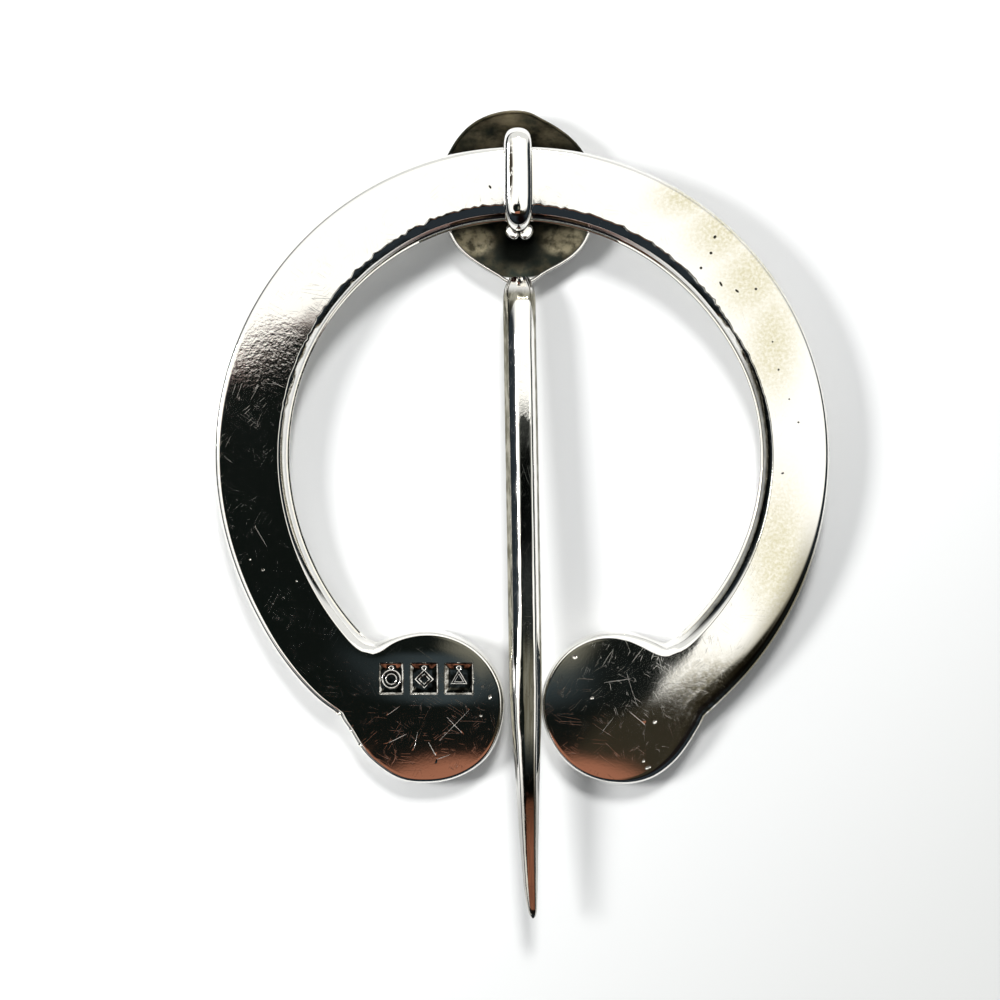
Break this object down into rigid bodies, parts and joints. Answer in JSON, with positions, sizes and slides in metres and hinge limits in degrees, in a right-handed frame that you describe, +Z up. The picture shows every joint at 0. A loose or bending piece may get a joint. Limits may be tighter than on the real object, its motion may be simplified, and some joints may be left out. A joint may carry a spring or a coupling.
{
  "type": "penannular brooch",
  "caption": "Silver penannular brooch: an open flat hoop with disc terminals, and a pin whose domed head plate is looped round the band so that it slides round the hoop.",
  "frame": {"origin": "on the table, straight below the middle of the hoop as the brooch lies face down", "axes": "+Y from the terminals to the pin's head, along the table; +Z up, out of the brooch's back"},
  "size_m": [0.04, 0.0525, 0.0051],
  "materials": {
    "hoop_silver": "polished silver with fine scratches",
    "pin_silver": "polished silver, tarnished in the head's hollow"
  },
  "bodies": {
    "hoop": {"hoop": "hoop_silver"},
    "pin": {"pin": "pin_silver"}
  },
  "joints": [
    {"name": "pin_travel", "type": "hinge", "parent": "hoop", "child": "pin", "pos_m": [0, 0, 0.0012], "axis": [0, -0.0563, 0.9984], "range_deg": [-120, 120]}
  ]
}
